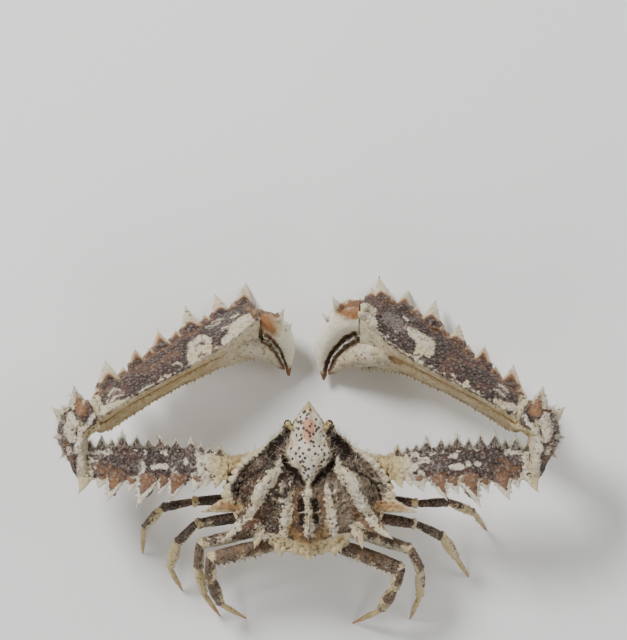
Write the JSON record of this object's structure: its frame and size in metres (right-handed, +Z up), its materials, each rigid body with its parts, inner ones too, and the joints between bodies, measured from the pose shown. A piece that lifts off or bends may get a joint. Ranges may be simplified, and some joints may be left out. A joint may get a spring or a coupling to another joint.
{
  "type": "elbow crab (enoplolambrus pransor), still life-size model",
  "caption": "Still, life-size elbow crab with long three-sided spiny claws, a ridged shield-shaped back and slender walking legs.",
  "frame": {"origin": "middle of the footprint's bounding box, on the floor that the leg tips and claws rest on", "axes": "+Z up, -Y towards the crab's head, +X towards the crab's own left side"},
  "size_m": [0.0922, 0.0632, 0.0255],
  "materials": {
    "shell_dark": "granular dark purple-brown shell with pale blotches and spines",
    "shell_pale": "smooth cream shell with orange-brown patches",
    "leg_tan": "smooth banded tan and brown shell",
    "underside": "smooth pale yellow shell of the underside and face",
    "eye": "glossy near-black"
  },
  "bodies": {
    "root": {"abdomen": "underside", "antennule_left": "underside", "antennule_right": "underside", "carapace": "shell_dark", "claw_left_carpus": "shell_dark", "claw_left_dactylus": "shell_pale", "claw_left_ischium": "shell_pale", "claw_left_merus": "shell_dark", "claw_left_palm": "shell_dark", "claw_right_carpus": "shell_dark", "claw_right_dactylus": "shell_pale", "claw_right_ischium": "shell_pale", "claw_right_merus": "shell_dark", "claw_right_palm": "shell_dark", "eye_left": "eye", "eye_right": "eye", "leg2_left_carpus": "leg_tan", "leg2_left_dactylus": "leg_tan", "leg2_left_merus": "leg_tan", "leg2_left_propodus": "leg_tan", "leg2_right_carpus": "leg_tan", "leg2_right_dactylus": "leg_tan", "leg2_right_merus": "leg_tan", "leg2_right_propodus": "leg_tan", "leg3_left_carpus": "leg_tan", "leg3_left_dactylus": "leg_tan", "leg3_left_merus": "leg_tan", "leg3_left_propodus": "leg_tan", "leg3_right_carpus": "leg_tan", "leg3_right_dactylus": "leg_tan", "leg3_right_merus": "leg_tan", "leg3_right_propodus": "leg_tan", "leg4_left_carpus": "leg_tan", "leg4_left_dactylus": "leg_tan", "leg4_left_merus": "leg_tan", "leg4_left_propodus": "leg_tan", "leg4_right_carpus": "leg_tan", "leg4_right_dactylus": "leg_tan", "leg4_right_merus": "leg_tan", "leg4_right_propodus": "leg_tan", "leg5_left_carpus": "leg_tan", "leg5_left_dactylus": "leg_tan", "leg5_left_merus": "leg_tan", "leg5_left_propodus": "leg_tan", "leg5_right_carpus": "leg_tan", "leg5_right_dactylus": "leg_tan", "leg5_right_merus": "leg_tan", "leg5_right_propodus": "leg_tan", "maxilliped_left": "underside", "maxilliped_right": "underside", "thorax": "underside"}
  },
  "joints": []
}
